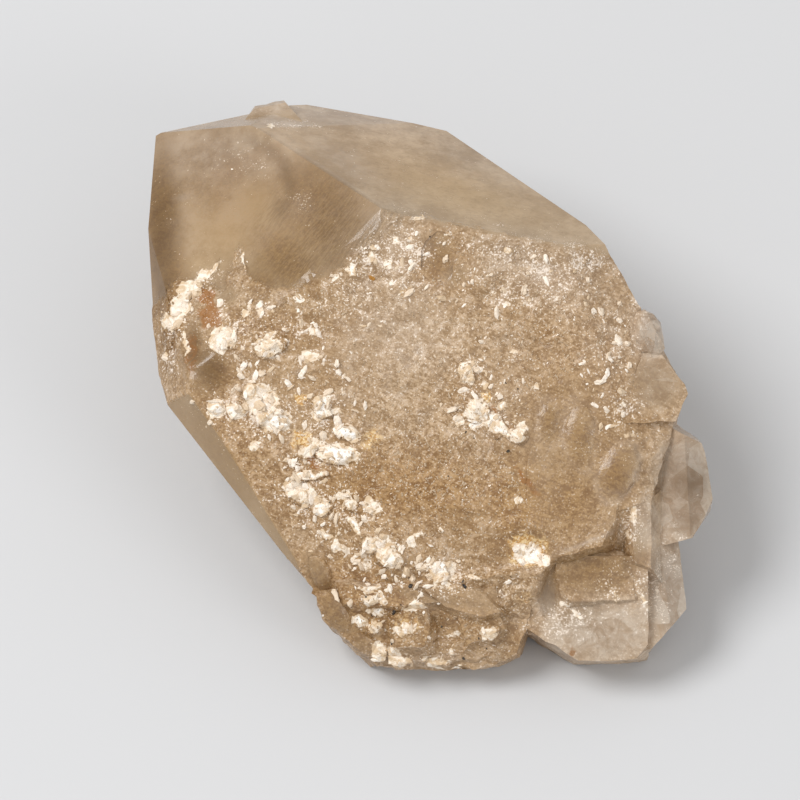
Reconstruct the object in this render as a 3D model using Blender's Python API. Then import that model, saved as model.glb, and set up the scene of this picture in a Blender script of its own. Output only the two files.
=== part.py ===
"""Citrine crystal: one blocky quartz crystal with smooth termination facets, a rough front face,
small crystals grown onto its right side, white mineral lumps and a broken, ledged base."""
import math

import bmesh
import bpy
from mathutils import Matrix, Vector, noise
from mathutils.bvhtree import BVHTree

# All sizes are millimetres. The crystal is built in the frame of its front face:
# x runs to the right, y up along the face and z out of the face. At the end it is leaned back
# onto its flat broken root and turned so that z is up.
MM = 0.001
LEAN_DEG = 30.0
BLOCK = 150.0
DEPTH = 52.0

# The seat is the flat break that it rests on.
SEAT_POINT = (0.0, -50.0, -15.0)

# Facets of the main crystal: outward direction, then a point on the facet.
SMOOTH_FACETS = {
    "left_end": ((-0.400, 0.472, 0.786), (-7.0, 31.1, 0.0)),
    "top_slope": ((0.168, 0.877, 0.451), (-5.4, 30.0, 0.0)),
    "top_back_slope": ((0.107, 0.943, 0.320), (-31.8, 45.8, -21.4)),
    "top_strip": ((-0.161, 0.969, 0.186), (-31.8, 45.8, -21.4)),
    "left_dark": ((-0.888, 0.079, 0.454), (-43.0, 5.0, -2.64)),
    "left_low": ((-0.704, -0.505, 0.500), (-42.1, -1.9, 0.0)),
    "striated_bevel": ((-0.128, 0.232, 0.965), (-14.9, 24.4, 0.0)),
}
HIDDEN_FACETS = {
    "top_behind": ((0.237, 0.832, -0.500), (-19.1, 50.0, -34.3)),
    "right_behind": ((0.764, 0.407, -0.500), (29.8, 26.3, -6.4)),
    "tip_behind": ((-0.317, 0.730, -0.600), (-47.5, 44.6, -28.7)),
    "left_behind": ((-0.870, -0.191, -0.455), (-49.5, 30.0, -20.9)),
    "left_low_behind": ((-0.856, -0.276, -0.438), (-48.6, 20.2, -20.3)),
    "low_behind": ((-0.662, -0.557, -0.500), (-39.1, -12.5, -6.5)),
    "back": ((0.0, 0.0, -1.0), (0.0, 0.0, -DEPTH)),
    "above_seat": ((0.0, -0.5, -0.866), (0.0, -50.0, -15.4)),
}
ROUGH_FACETS = {
    "front": ((0.0, 0.0, 1.0), (0.0, 0.0, 0.0)),
    "front_right": ((0.42, 0.13, 0.90), (24.0, 25.0, 0.0)),
    "front_dip": ((-0.05, -0.17, 0.98), (0.0, -20.0, 0.0)),
    "front_low": ((-0.14, -0.46, 0.88), (0.0, -38.0, -3.1)),
    "front_low_right": ((0.16, -0.44, 0.88), (10.0, -36.0, -2.8)),
    "right": ((0.847, 0.490, -0.207), (30.4, 25.3, -3.0)),
    "right_low": ((0.965, -0.230, 0.100), (43.8, -2.0, -5.0)),
    "corner_low": ((0.740, -0.660, 0.100), (37.0, -28.0, -5.0)),
    "bottom": ((0.0, -0.98, -0.20), (0.0, -44.4, -6.0)),
    "root_left": ((-0.74, -0.64, 0.20), (-15.0, -43.0, -8.0)),
}

# The broken root below the front face.
ROOT_FACETS = {
    "root_top": ((-0.15, 0.62, 0.77), (0.0, -35.0, -1.2)),
    "root_front": ((-0.03, -0.42, 0.91), (0.0, -38.0, -2.6)),
    "root_bottom": ((0.02, -0.99, -0.14), (0.0, -50.2, -9.0)),
    "root_right": ((0.94, -0.34, 0.05), (16.3, -45.8, -10.0)),
    "root_corner": ((0.50, -0.86, 0.0), (14.6, -48.3, -10.0)),
    "root_low_left": ((-0.72, -0.69, 0.10), (-12.5, -46.8, -10.0)),
    "root_side": ((-0.92, -0.24, -0.30), (-19.0, -39.5, -8.0)),
}
ROOT_INSIDE = {
    "root_inner_top": ((0.0, 1.0, 0.0), (0.0, -30.0, -10.0)),
    "root_above_seat": ((0.0, -0.5, -0.866), (0.0, -50.0, -15.4)),
    "root_back": ((0.0, 0.0, -1.0), (0.0, -40.0, -34.0)),
}

# Crystals with flat faces that have grown onto the main one.
GROWN_ON = {
    "right_crystal": (
        ((-0.10, 0.05, 0.99), (44.0, -16.0, -3.6)),
        ((0.55, 0.08, 0.83), (45.6, -16.0, -3.8)),
        ((0.986, 0.168, -0.15), (49.0, -16.4, -7.0)),
        ((0.484, 0.875, 0.10), (45.8, -9.0, -7.0)),
        ((0.93, 0.36, -0.10), (48.0, -11.2, -7.0)),
        ((0.916, -0.40, 0.10), (49.0, -21.9, -7.0)),
        ((0.815, -0.579, 0.0), (47.1, -25.3, -7.0)),
        ((0.25, -0.968, 0.0), (44.5, -27.2, -7.0)),
        ((-1.0, 0.0, 0.0), (38.0, -17.0, -8.0)),
        ((0.45, 0.12, -0.88), (46.0, -17.0, -13.5)),
        ((0.80, 0.20, -0.56), (48.2, -17.0, -10.5)),
    ),
    "low_right_crystal": (
        ((-0.12, -0.08, 0.99), (39.0, -36.0, -4.2)),
        ((0.50, 0.0, 0.866), (42.3, -36.0, -4.4)),
        ((0.991, 0.133, -0.12), (44.2, -34.2, -8.0)),
        ((0.946, -0.324, 0.0), (44.7, -42.4, -8.0)),
        ((0.388, -0.922, 0.05), (41.0, -45.6, -8.0)),
        ((0.75, -0.66, 0.0), (38.6, -46.8, -8.0)),
        ((-1.0, 0.0, 0.0), (34.0, -36.0, -8.0)),
        ((0.0, 1.0, 0.0), (40.0, -24.0, -8.0)),
        ((0.42, -0.10, -0.90), (40.0, -36.0, -16.0)),
        ((0.85, 0.10, -0.52), (44.0, -36.0, -12.0)),
    ),
    "low_crystal": (
        ((-0.06, -0.20, 0.98), (29.0, -38.0, -2.8)),
        ((0.75, -0.64, 0.15), (37.4, -47.7, -8.0)),
        ((0.10, -0.99, 0.05), (33.0, -48.6, -8.0)),
        ((-0.02, -1.0, 0.05), (29.0, -48.7, -8.0)),
        ((-0.52, -0.85, 0.10), (22.8, -46.7, -8.0)),
        ((-1.0, 0.10, 0.0), (15.0, -42.0, -8.0)),
        ((0.0, 1.0, 0.0), (28.0, -30.0, -8.0)),
        ((1.0, 0.0, 0.0), (38.3, -40.0, -8.0)),
        ((0.0, -0.10, -0.99), (29.0, -38.0, -18.0)),
    ),
    "right_shoulder": (
        ((0.20, 0.15, 0.97), (40.0, 1.0, -2.6)),
        ((0.80, 0.60, 0.0), (42.5, 2.9, -6.0)),
        ((0.98, 0.20, -0.10), (44.6, -0.6, -6.0)),
        ((0.93, -0.36, 0.0), (44.1, -4.0, -6.0)),
        ((0.05, -1.0, 0.0), (40.0, -6.5, -6.0)),
        ((-0.95, 0.30, 0.0), (35.5, 0.0, -6.0)),
        ((-0.10, 1.0, 0.0), (38.0, 5.6, -6.0)),
        ((0.60, 0.10, -0.79), (42.0, 0.0, -10.0)),
    ),
    "top_chip": (
        ((-0.16, 0.97, 0.19), (-28.0, 49.9, -33.0)),
        ((-0.80, 0.60, 0.0), (-31.2, 48.9, -33.0)),
        ((0.75, 0.65, 0.0), (-25.2, 49.7, -33.0)),
        ((-0.05, 0.80, 0.60), (-28.0, 49.4, -30.9)),
        ((0.0, -1.0, 0.0), (-28.0, 45.0, -33.0)),
        ((-0.32, 0.73, -0.60), (-28.0, 49.5, -33.8)),
        ((0.0, 0.0, -1.0), (-28.0, 47.0, -35.0)),
    ),
}

# Rounded forms that stand out of the front: x, y, half length, half width, rise, turn in degrees.
SMOOTH_LOBES = (
    (20.5, -6.7, 4.4, 2.0, 0.55, 78.0),
    (26.2, -8.8, 6.0, 2.9, 0.7, 84.0),
    (33.2, -15.2, 5.6, 3.3, 0.7, 66.0),
    (-19.0, -33.3, 4.2, 2.0, 1.1, -66.0),
    (-16.8, -39.8, 4.6, 2.6, 1.4, -58.0),
    (-11.9, -45.1, 3.6, 1.8, 1.1, -42.0),
    (38.4, 9.0, 4.4, 2.6, 3.0, 110.0),
)

# Raised plates and ledges of the front: corners x, y in order, height of the top at their middle,
# then how much the top rises towards x and towards y.
PLATES = {
    "right_leaf_plate": (
        ((16.8, -29.3), (22.8, -30.4), (30.2, -28.4), (32.6, -23.7), (33.7, -12.3), (28.1, -3.5),
         (21.2, -3.0), (17.2, -13.0)),
        0.3, 0.01, -0.04,
    ),
    "right_slab": (
        ((35.4, -20.2), (35.8, -31.1), (38.8, -32.1), (38.8, -20.2)),
        -0.3, 0.0, 0.0,
    ),
    "low_plate": (
        ((22.1, -30.7), (22.3, -36.0), (24.9, -38.1), (35.8, -37.7), (35.4, -30.7), (29.8, -29.3)),
        -1.6, -0.01, 0.0,
    ),
    "root_ledge": (
        ((-2.1, -35.1), (2.6, -38.8), (8.8, -40.5), (12.3, -39.8), (8.8, -36.3), (1.8, -34.2)),
        -1.3, 0.0, 0.04,
    ),
    "root_left_ledge": (
        ((-15.8, -35.1), (-14.9, -38.4), (-5.3, -38.8), (1.8, -38.1), (-2.6, -36.0)),
        -1.4, 0.02, 0.05,
    ),
    "root_chunk": (
        ((-6.9, -41.0), (-5.6, -45.5), (-1.4, -45.6), (0.2, -42.4), (-0.6, -39.2), (-4.6, -39.0)),
        -2.9, 0.05, 0.20,
    ),
    "root_step": (
        ((4.4, -38.4), (7.0, -44.7), (12.8, -42.6), (12.1, -34.2)),
        -2.9, 0.06, 0.25,
    ),
    "root_rim": (
        ((-8.6, -45.2), (-5.3, -47.8), (8.4, -47.8), (12.4, -46.2), (11.4, -44.2)),
        -6.1, 0.0, 0.45,
    ),
}
PLATE_SIDE = 0.55
PLATE_DEPTH = 4.0

# Smooth hollows: x, y, half length, half width, depth, turn.
HOLLOWS = (
    (17.9, -29.5, 3.6, 3.0, 2.6, 0.0),
    (1.8, 22.3, 5.0, 3.8, 0.5, 80.0),
    (20.9, -37.7, 4.3, 1.9, 1.2, 86.0),
    (-45.2, 6.8, 2.2, 1.2, 1.0, 80.0),
)

# White mineral lumps: x, y, half length, half width, rise, turn.
LUMPS = (
    (-45.9, 11.2, 1.9, 1.5, 1.16, 70.0),
    (-43.6, 14.4, 2.4, 1.7, 1.22, 60.0),
    (-41.0, 16.4, 1.6, 1.1, 0.82, 30.0),
    (-35.8, 8.2, 2.4, 1.9, 1.22, 20.0),
    (-27.8, 6.8, 2.9, 1.9, 1.16, 15.0),
    (-37.8, -4.0, 1.5, 1.3, 1.09, 0.0),
    (-34.2, -4.3, 1.8, 1.5, 0.95, 0.0),
    (-31.4, -1.6, 2.1, 1.7, 1.09, 120.0),
    (-29.0, -5.4, 2.2, 2.0, 1.29, 30.0),
    (-26.6, -6.0, 1.9, 1.7, 1.02, 150.0),
    (-19.1, -3.6, 2.3, 1.8, 1.16, 110.0),
    (-14.8, -8.4, 2.3, 1.3, 1.16, 170.0),
    (-16.9, -12.2, 3.7, 1.7, 1.29, 172.0),
    (-21.6, -11.4, 1.8, 1.5, 0.88, 40.0),
    (-21.4, -16.0, 3.6, 0.8, 0.68, 4.0),
    (-23.0, -19.8, 2.4, 1.2, 0.75, 160.0),
    (-18.8, -21.6, 1.9, 1.1, 0.75, 20.0),
    (-13.7, -21.0, 1.2, 1.2, 0.82, 0.0),
    (6.2, 2.2, 2.0, 1.6, 0.88, 100.0),
    (8.0, -4.4, 2.7, 2.0, 1.02, 20.0),
    (11.6, -7.2, 2.5, 1.8, 0.95, 165.0),
    (15.2, -8.9, 2.0, 1.5, 0.82, 10.0),
    (10.6, -43.6, 1.6, 1.2, 0.88, 30.0),
    (1.2, -33.4, 2.3, 1.9, 1.09, 80.0),
    (-10.6, -28.2, 1.9, 1.5, 0.95, 30.0),
    (-7.2, -30.4, 2.6, 1.8, 1.16, 160.0),
    (-10.6, -37.8, 1.8, 1.1, 0.88, 0.0),
    (-9.6, -42.4, 1.5, 1.2, 0.82, 40.0),
    (-9.0, -47.2, 1.8, 1.5, 1.02, 60.0),
    (-5.4, -48.4, 2.3, 1.3, 0.95, 170.0),
    (1.4, -48.8, 2.4, 1.0, 0.82, 0.0),
)

# Lumps on the floor of the deepest hollow.
HOLLOW_LUMPS = (
    (16.9, -28.8, 2.0, 1.5, 1.3, 20.0),
    (19.2, -30.4, 1.6, 1.3, 1.2, 100.0),
)

# Places where the rough front is nearly smooth: x, y, half width, half height.
SMOOTH_ZONES = (
    (1.8, 22.3, 5.4, 6.4),
    (-41.2, 5.8, 2.4, 5.5),
    (-38.1, 3.3, 3.6, 4.2),
    (26.5, -12.0, 10.0, 11.0),
)
SMOOTHING = 0.9

# The rough faces are divided along the directions in which the crystal grew.
GROWTH_TURN_DEG = 138.7
GRID_STEP = 2.4
GRID_PHASES = (0.37, 0.58, 0.21)
JITTER = 0.4
JITTER_SIZE = 1.4
DRIFT_APART = (Vector((0.0, 7.3, 0.0)), Vector((0.0, 0.0, 5.1)), Vector((9.7, 0.0, 0.0)))
EDGE_BLEND = 2.5
SLIVER = 0.0001
COARSE_SIZE = 15.0
COARSE_RISE = 0.7
FINE_SIZE = 4.6
FINE_RISE = 0.35
HILLOCK_SIZE = 6.5
HILLOCK_RISE = 0.55
ROOT_STARTS_Y = -22.0
ROOT_FADE = 12.0
ROOT_GAIN = 1.3
EDGE_BAND = 3.0
LUMP_ROUGHNESS = 0.6
LUMP_GRAIN = 2.1
RAY_START = 30.0
RAY_TRUST = 4.0

# Tolerances of the construction: metres for the cuts, cosines for directions.
CUT_NEAR = 1e-7
GRID_NEAR = 2e-5
SAME_WAY = 0.9999
FACES_FRONT = 0.15
ROOT_BELOW_Y = -34.0
HILLOCK_MEAN = 0.45
CRYSTAL_MIDDLE = (0.0, 0.0, -25.0)
ROOT_MIDDLE = (0.0, -40.0, -25.0)

BASE_COLOUR = (0.45, 0.30, 0.16, 1.0)
ROUGHNESS = 0.25
QUARTZ_IOR = 1.544
SEE_THROUGH = 0.8


def vec(values):
    """Millimetre values as a vector in metres."""
    return Vector(values) * MM


def cut(bm, direction, point):
    """Cuts a convex block by one facet and closes it."""
    geom = bm.verts[:] + bm.edges[:] + bm.faces[:]
    found = bmesh.ops.bisect_plane(
        bm, geom=geom, dist=CUT_NEAR, plane_co=vec(point), plane_no=direction, clear_outer=True
    )
    rim = [part for part in found["geom_cut"] if isinstance(part, bmesh.types.BMEdge)]
    if rim:
        bmesh.ops.contextual_create(bm, geom=rim)


def block_of(facets, centre):
    """The convex block that a set of facets encloses."""
    bm = bmesh.new()
    bmesh.ops.create_cube(bm, size=BLOCK * MM, matrix=Matrix.Translation(vec(centre)))
    for direction, point in facets:
        cut(bm, Vector(direction).normalized(), point)
    bmesh.ops.recalc_face_normals(bm, faces=bm.faces)
    return bm


def to_object(bm, name):
    mesh = bpy.data.meshes.new(name)
    bm.to_mesh(mesh)
    bm.free()
    made = bpy.data.objects.new(name, mesh)
    bpy.context.scene.collection.objects.link(made)
    return made


def combine(body, tool, operation):
    """Applies one Boolean to the body and removes the tool."""
    step = body.modifiers.new(operation.lower(), "BOOLEAN")
    step.operation = operation
    step.solver = "MANIFOLD"
    step.object = tool
    graph = bpy.context.evaluated_depsgraph_get()
    made = bpy.data.meshes.new_from_object(body.evaluated_get(graph))
    body.modifiers.remove(step)
    body.data = made
    bpy.data.objects.remove(tool)


def height_of(facets, x, y):
    """Height and direction of the convex front that a set of facets makes at x, y."""
    found = []
    for direction, point in facets:
        normal = Vector(direction).normalized()
        if normal.z < FACES_FRONT:
            continue
        height = (normal.dot(Vector(point)) - normal.x * x - normal.y * y) / normal.z
        found.append((height, normal))
    return min(found, key=lambda item: item[0])


def surface(x, y):
    """Point and direction of the front at x, y, on the main crystal or on its root."""
    main_facets = list(SMOOTH_FACETS.values()) + list(ROUGH_FACETS.values())
    height, normal = height_of(main_facets, x, y)
    root_height, root_normal = height_of(ROOT_FACETS.values(), x, y)
    if y < ROOT_BELOW_Y and root_height > height:
        height, normal = root_height, root_normal
    return Vector((x, y, height)), normal


def seated(body, x, y, turn):
    """Placement on the front of the body: local z is the outward direction there."""
    point, normal = surface(x, y)
    finder = bmesh.new()
    finder.from_mesh(body.data)
    found = BVHTree.FromBMesh(finder).ray_cast(vec((x, y, RAY_START)), Vector((0.0, 0.0, -1.0)))[0]
    finder.free()
    if found and abs(found.z / MM - point.z) < RAY_TRUST:
        point.z = found.z / MM
    upright = normal.to_track_quat("Z", "Y").to_matrix().to_4x4()
    level = Vector((1.0, 0.0, 0.0))
    level -= level.project(normal)
    local = upright.inverted() @ level.normalized()
    spin = Matrix.Rotation(math.atan2(local.y, local.x) + math.radians(turn), 4, "Z")
    return Matrix.Translation(point * MM) @ upright @ spin


def relief(place):
    """Height in millimetres of the rough growth surface at a place in millimetres."""
    coarse = noise.noise(place / COARSE_SIZE)
    fine = noise.noise((place + Vector((31.0, 0.0, 0.0))) / FINE_SIZE)
    near = noise.voronoi(place / HILLOCK_SIZE)[0][0]
    root = min(1.0, max(0.0, (ROOT_STARTS_Y - place.y) / ROOT_FADE))
    height = COARSE_RISE * coarse + FINE_RISE * fine + HILLOCK_RISE * (HILLOCK_MEAN - near)
    return height * (1.0 + ROOT_GAIN * root)


def smoothness(place):
    """How smooth the front is at a place, from 0 for rough to 1 for flat."""
    found = 0.0
    for x, y, half_width, half_height in SMOOTH_ZONES:
        away = ((place.x - x) / half_width) ** 2 + ((place.y - y) / half_height) ** 2
        found = max(found, math.exp(-away))
    return found


def roughen(bm, rough_facets, smooth_facets):
    """Divides the rough faces and gives them their relief, leaving smooth facets flat."""
    rough = [Vector(direction).normalized() for direction, _point in rough_facets]
    smooth = [(Vector(direction).normalized(), vec(point)) for direction, point in smooth_facets]
    planes = [(Vector(direction).normalized(), vec(point)) for direction, point in rough_facets]
    layer = bm.faces.layers.int.new("rough")
    for face in bm.faces:
        if any(face.normal.dot(direction) > SAME_WAY for direction in rough):
            face[layer] = 1
    steps = int(BLOCK / 2 / GRID_STEP)
    plans = [(Vector((0.0, 0.0, 1.0)), 0.5)]
    for number, phase in enumerate(GRID_PHASES):
        angle = math.radians(GROWTH_TURN_DEG + 60.0 * number)
        plans.append((Vector((math.cos(angle), math.sin(angle), 0.0)), phase))
    for direction, phase in plans:
        for index in range(-steps, steps + 1):
            faces = [face for face in bm.faces if face[layer]]
            edges = [edge for edge in bm.edges if any(face[layer] for face in edge.link_faces)]
            verts = [vert for vert in bm.verts if any(face[layer] for face in vert.link_faces)]
            place = direction * (index + phase) * GRID_STEP * MM
            bmesh.ops.bisect_plane(
                bm, geom=faces + edges + verts, dist=GRID_NEAR, plane_co=place, plane_no=direction
            )
    inner = [vert for vert in bm.verts if all(face[layer] for face in vert.link_faces)]
    bmesh.ops.remove_doubles(bm, verts=inner, dist=SLIVER)
    bmesh.ops.dissolve_degenerate(bm, edges=bm.edges, dist=SLIVER / 3)
    moved = []
    for vert in bm.verts:
        if not all(face[layer] for face in vert.link_faces):
            continue
        gap = min(-(vert.co - point).dot(direction) for direction, point in smooth)
        hold = min(1.0, max(0.0, gap / MM / EDGE_BAND))
        normal = Vector()
        for direction, point in planes:
            depth = (vert.co - point).dot(direction) / MM
            normal += direction * math.exp(depth / EDGE_BLEND)
        place = vert.co / MM
        drift = Vector([noise.noise(place / JITTER_SIZE + apart) for apart in DRIFT_APART]) * JITTER
        height = relief(place) * (1.0 - SMOOTHING * smoothness(place))
        shift = normal.normalized() * height + drift
        moved.append((vert, shift * hold * MM))
    for vert, shift in moved:
        vert.co += shift
    bmesh.ops.triangulate(bm, faces=[face for face in bm.faces if face[layer]])


def lobe(body, values, name, grain):
    """A rounded form that rises from the front, half sunk in it."""
    x, y, long_half, short_half, rise, turn = values
    bm = bmesh.new()
    bmesh.ops.create_icosphere(bm, subdivisions=2, radius=1.0)
    for vert in bm.verts:
        offset = noise.noise(Vector((x, y, 0.0)) + vert.co * LUMP_GRAIN)
        vert.co *= 1.0 + grain * offset
    size = Matrix.Diagonal((long_half * MM, short_half * MM, rise * MM, 1.0))
    bmesh.ops.transform(bm, matrix=seated(body, x, y, turn) @ size, verts=bm.verts)
    return to_object(bm, name)


def plate(values, name):
    """A raised plate with straight sides that lean in and a sloping flat top."""
    corners, height, rise_x, rise_y = values
    middle_x = sum(corner[0] for corner in corners) / len(corners)
    middle_y = sum(corner[1] for corner in corners) / len(corners)
    facets = [((-rise_x, -rise_y, 1.0), (middle_x, middle_y, height))]
    facets.append(((0.0, 0.0, -1.0), (middle_x, middle_y, height - PLATE_DEPTH)))
    for number, corner in enumerate(corners):
        after = corners[(number + 1) % len(corners)]
        side = Vector((after[1] - corner[1], corner[0] - after[0], 0.0)).normalized()
        middle = Vector((middle_x - corner[0], middle_y - corner[1], 0.0))
        if side.dot(middle) > 0.0:
            side = -side
        side.z = PLATE_SIDE
        facets.append((side, (corner[0], corner[1], height)))
    return to_object(block_of(facets, (middle_x, middle_y, 0.0)), name)


def main():
    for old in list(bpy.data.objects):
        bpy.data.objects.remove(old)
    smooth = list(SMOOTH_FACETS.values()) + list(HIDDEN_FACETS.values())
    rough = list(ROUGH_FACETS.values())
    crystal = block_of(smooth + rough, CRYSTAL_MIDDLE)
    roughen(crystal, rough, smooth)
    body = to_object(crystal, "citrine_crystal")
    root_faces = list(ROOT_FACETS.values())
    inside = list(ROOT_INSIDE.values())
    root = block_of(root_faces + inside, ROOT_MIDDLE)
    roughen(root, root_faces, inside)
    combine(body, to_object(root, "root"), "UNION")
    for name, facets in GROWN_ON.items():
        combine(body, to_object(block_of(facets, facets[0][1]), name), "UNION")
    for name, values in PLATES.items():
        combine(body, plate(values, name), "UNION")
    for values in SMOOTH_LOBES:
        combine(body, lobe(body, values, "lobe", 0.0), "UNION")
    for values in HOLLOWS:
        combine(body, lobe(body, values, "hollow", 0.0), "DIFFERENCE")
    for values in LUMPS:
        combine(body, lobe(body, values, "lump", LUMP_ROUGHNESS), "UNION")
    for values in HOLLOW_LUMPS:
        combine(body, lobe(body, values, "hollow_lump", LUMP_ROUGHNESS), "UNION")
    lean = Matrix.Rotation(math.radians(LEAN_DEG), 4, "X")
    floor = lean @ vec(SEAT_POINT)
    slab = bmesh.new()
    low = Matrix.Translation(Vector((0.0, 0.0, floor.z - BLOCK * MM / 2)))
    bmesh.ops.create_cube(slab, size=BLOCK * MM, matrix=low)
    body.data.transform(lean)
    combine(body, to_object(slab, "seat_cut"), "DIFFERENCE")
    corners = [vert.co for vert in body.data.vertices]
    middle_x = (min(corner.x for corner in corners) + max(corner.x for corner in corners)) / 2
    middle_y = (min(corner.y for corner in corners) + max(corner.y for corner in corners)) / 2
    lowest = min(corner.z for corner in corners)
    shift = Vector((-middle_x, -middle_y, -lowest))
    body.data.transform(Matrix.Translation(shift))
    material = bpy.data.materials.new("smoky_citrine")
    material.use_nodes = True
    shader = material.node_tree.nodes["Principled BSDF"]
    shader.inputs["Base Color"].default_value = BASE_COLOUR
    shader.inputs["Roughness"].default_value = ROUGHNESS
    shader.inputs["IOR"].default_value = QUARTZ_IOR
    shader.inputs["Transmission Weight"].default_value = SEE_THROUGH
    body.data.materials.clear()
    body.data.materials.append(material)
    print("triangles", sum(len(face.vertices) - 2 for face in body.data.polygons))
    print("moved in millimetres", [round(value / MM, 4) for value in shift])


main()
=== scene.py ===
import math
import random

import bmesh
import bpy
import numpy as np
from mathutils import Matrix, Vector, noise
from mathutils.bvhtree import BVHTree


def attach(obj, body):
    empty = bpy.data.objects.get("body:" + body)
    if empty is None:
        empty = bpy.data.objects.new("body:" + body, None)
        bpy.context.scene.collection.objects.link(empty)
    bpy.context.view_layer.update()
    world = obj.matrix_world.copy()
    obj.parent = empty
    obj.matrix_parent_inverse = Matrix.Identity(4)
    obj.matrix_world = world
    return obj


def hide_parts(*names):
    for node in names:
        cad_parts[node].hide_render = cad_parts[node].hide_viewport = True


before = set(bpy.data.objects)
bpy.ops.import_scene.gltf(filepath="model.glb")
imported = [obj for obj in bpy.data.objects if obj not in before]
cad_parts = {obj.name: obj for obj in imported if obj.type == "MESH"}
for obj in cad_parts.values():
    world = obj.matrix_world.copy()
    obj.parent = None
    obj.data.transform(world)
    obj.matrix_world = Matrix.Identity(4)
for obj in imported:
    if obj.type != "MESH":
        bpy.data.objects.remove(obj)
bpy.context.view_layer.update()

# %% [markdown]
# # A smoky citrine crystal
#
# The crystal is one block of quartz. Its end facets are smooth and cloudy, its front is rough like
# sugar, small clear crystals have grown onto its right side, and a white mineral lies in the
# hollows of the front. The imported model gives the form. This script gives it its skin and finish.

MM = 0.001

# %% [markdown]
# Places on the crystal are easiest to name in the frame of its front face: x to the right, y up
# along the face and z out of it. The finished crystal leans back by 30 degrees and is moved onto
# the floor. A place on the front is read in the photograph, in pixels of its 800 by 800 frame.

# %% The frame of the front face
LEAN = math.radians(30.0)
MOVED = Vector((-0.0431, -10.6989, 37.9904)) * MM
TO_WORLD = Matrix.Translation(MOVED) @ Matrix.Rotation(LEAN, 4, "X")
TO_FACE = TO_WORLD.inverted()
PIXELS_PER_MM = 5.7
ZERO_PIXEL = (430.0, 385.0)


def on_face(across, down):
    """A place in the photograph as millimetres on the front face."""
    return (across - ZERO_PIXEL[0]) / PIXELS_PER_MM, (ZERO_PIXEL[1] - down) / PIXELS_PER_MM


print("middle of the front in the photograph", on_face(430, 385))

# %% [markdown]
# The end facets are flat planes, so a face of the mesh belongs to one when it lies on that plane.
# Some are overgrown at their foot, others stay bare, and the rest lie on the far side. A direction
# outwards and a point of each plane are enough to tell them apart.

# %% Flat facets of the crystal
END_FACETS = {
    "left_end": ((-0.4, 0.472, 0.786), (-7.0, 31.1, 0.0)),
    "top_slope": ((0.168, 0.877, 0.451), (-5.4, 30.0, 0.0)),
    "left_dark": ((-0.888, 0.079, 0.454), (-43.0, 5.0, -2.64)),
    "striated_bevel": ((-0.128, 0.232, 0.965), (-14.9, 24.4, 0.0)),
}
BARE_FACETS = {
    "top_back_slope": ((0.107, 0.943, 0.32), (-31.8, 45.8, -21.4)),
    "top_strip": ((-0.161, 0.969, 0.186), (-31.8, 45.8, -21.4)),
    "left_low": ((-0.704, -0.505, 0.500), (-42.1, -1.9, 0.0)),
}
FAR_FACETS = {
    "top_behind": ((0.237, 0.832, -0.5), (-19.1, 50.0, -34.3)),
    "right_behind": ((0.764, 0.407, -0.5), (29.8, 26.3, -6.4)),
    "tip_behind": ((-0.317, 0.73, -0.6), (-47.5, 44.6, -28.7)),
    "left_behind": ((-0.87, -0.191, -0.455), (-49.5, 30.0, -20.9)),
    "left_low_behind": ((-0.856, -0.276, -0.438), (-48.6, 20.2, -20.3)),
    "low_behind": ((-0.662, -0.557, -0.5), (-39.1, -12.5, -6.5)),
    "back": ((0.0, 0.0, -1.0), (0.0, 0.0, -52.0)),
    "seat": ((0.0, -0.5, -0.866), (0.0, -50.0, -15.0)),
}
ROUGH, END, BARE, FAR = 0, 1, 2, 3
SAME_WAY = 0.9995
ON_PLANE = 0.05


def facet_kind(face):
    """Tells whether a face of the mesh lies on a flat facet and of which kind, or on the crust."""
    place = TO_FACE @ face.calc_center_median() / MM
    way = TO_FACE.to_3x3() @ face.normal
    for kind, facets in ((END, END_FACETS), (BARE, BARE_FACETS), (FAR, FAR_FACETS)):
        for direction, point in facets.values():
            normal = Vector(direction).normalized()
            if way.dot(normal) > SAME_WAY and abs((place - Vector(point)).dot(normal)) < ON_PLANE:
                return kind
    return ROUGH


print("flat facets", len(END_FACETS) + len(BARE_FACETS) + len(FAR_FACETS))

# %% [markdown]
# On the left the sugary crust has grown over the foot of the end facets, so it ends in a ragged
# line and not at a sharp edge. The line is drawn once, as points of the photograph. Everything
# below it on the front is crust.

# %% Where the crust begins: x and y in the photograph
CRUST_LINE_X = (
    140, 160, 175, 195, 212, 224, 238, 246, 252, 262, 290, 316, 340, 362, 385, 405, 500, 605,
)
CRUST_LINE_Y = (
    315, 300, 281, 279, 285, 290, 246, 262, 280, 286, 290, 280, 266, 245, 214, 217, 235, 254,
)


def below_line(across, up):
    """How far a place on the face lies below the upper line of the crust, in millimetres."""
    pixel_x = ZERO_PIXEL[0] + across * PIXELS_PER_MM
    pixel_y = ZERO_PIXEL[1] - up * PIXELS_PER_MM
    return (pixel_y - np.interp(pixel_x, CRUST_LINE_X, CRUST_LINE_Y)) / PIXELS_PER_MM


print("the middle lies below the line by", round(float(below_line(0.0, 0.0)), 1), "mm")

# %% [markdown]
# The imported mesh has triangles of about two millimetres, too large for a sugary skin. A copy of it
# is merged, and its long edges are cut in half again and again until the crust has edges below a
# millimetre. The smooth facets get fewer cuts, and the far side hardly any.

# %% The crystal's mesh, divided where it is rough
EDGE_LIMIT = {ROUGH: 0.80, END: 1.3, BARE: 1.3, FAR: 4.5}
CRUST_MARGIN = 1.5
ROUNDS = 9
WELD = 0.000002

crystal = bmesh.new()
crystal.from_mesh(bpy.data.objects["citrine_crystal"].data)
bmesh.ops.remove_doubles(crystal, verts=crystal.verts, dist=WELD)
kind_of = crystal.faces.layers.int.new("kind")
for face in crystal.faces:
    face[kind_of] = facet_kind(face)


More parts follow.
